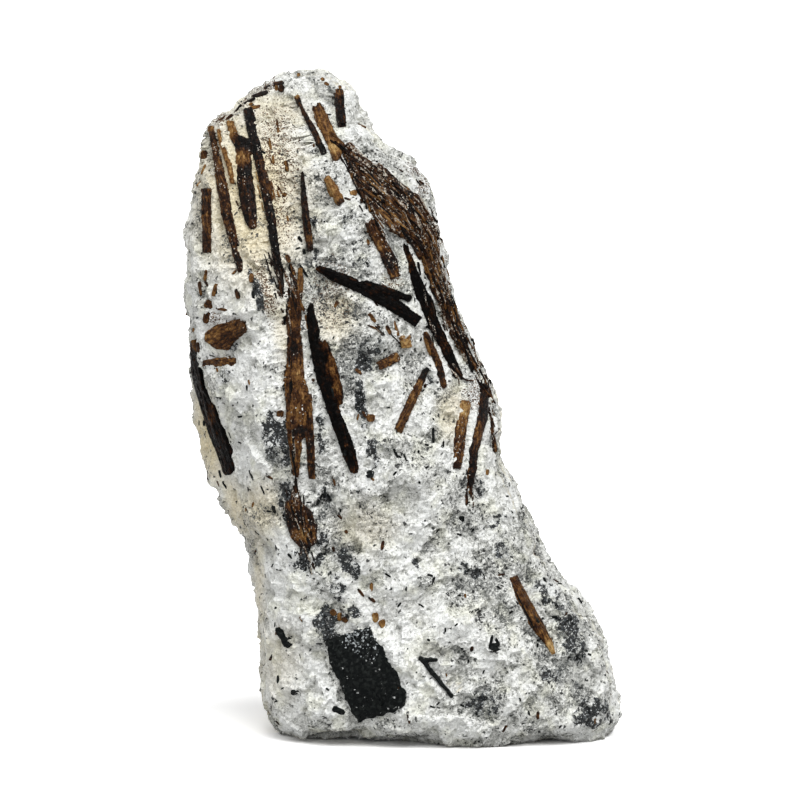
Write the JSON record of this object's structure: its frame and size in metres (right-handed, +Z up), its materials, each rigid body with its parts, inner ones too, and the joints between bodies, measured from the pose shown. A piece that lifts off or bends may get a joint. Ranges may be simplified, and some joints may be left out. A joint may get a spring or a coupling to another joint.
{
  "type": "astrophyllite crystal specimen",
  "caption": "Upright leaning wedge of white granular feldspar rock, flat underneath, with long bronze, brown and black mica blades let into its faces.",
  "frame": {"origin": "on the flat underside of the rock, below the middle of its width and depth", "axes": "+Z up, -Y towards the viewer of the crystal face, +X to that viewer's right"},
  "size_m": [0.0645, 0.0383, 0.0988],
  "materials": {
    "white_feldspar": "rough sugary fracture",
    "bronze_mica": "pearly cleavage",
    "brown_mica": "pearly cleavage",
    "black_mica": "glassy cleavage",
    "black_aegirine": "glassy granular"
  },
  "bodies": {
    "root": {"feldspar_matrix": "white_feldspar", "aegirine_patch": "black_aegirine", "aegirine_patch_back": "black_aegirine", "blade_back_broad": "bronze_mica", "blade_back_golden": "bronze_mica", "blade_back_long": "brown_mica", "blade_back_lower": "brown_mica", "blade_back_slender": "black_mica", "blade_black_diagonal": "black_mica", "blade_centre_black": "black_mica", "blade_centre_bronze": "bronze_mica", "blade_golden_upper_right": "bronze_mica", "blade_left_block": "brown_mica", "blade_left_edge": "black_mica", "blade_lower_golden": "bronze_mica", "blade_lower_right": "bronze_mica", "blade_pair_upper_left": "brown_mica", "blade_right_black": "black_mica", "blade_right_dark": "brown_mica", "blade_right_golden": "bronze_mica", "blade_right_reddish": "bronze_mica", "blade_small_golden": "bronze_mica", "blade_top_dark": "brown_mica", "blade_top_golden": "bronze_mica", "blade_top_slender": "brown_mica", "blade_upper_left_outer": "brown_mica", "blade_upper_left_thin": "bronze_mica", "blade_upper_slender": "brown_mica", "mica_clump_centre": "bronze_mica", "mica_grain_slanted": "bronze_mica", "mica_grain_square": "bronze_mica", "mica_mass_right": "brown_mica", "mica_plate_back": "bronze_mica", "needle_lower_left": "black_aegirine", "needle_lower_right": "black_aegirine", "plate_left_lower": "bronze_mica", "plate_left_upper": "bronze_mica"}
  },
  "joints": []
}
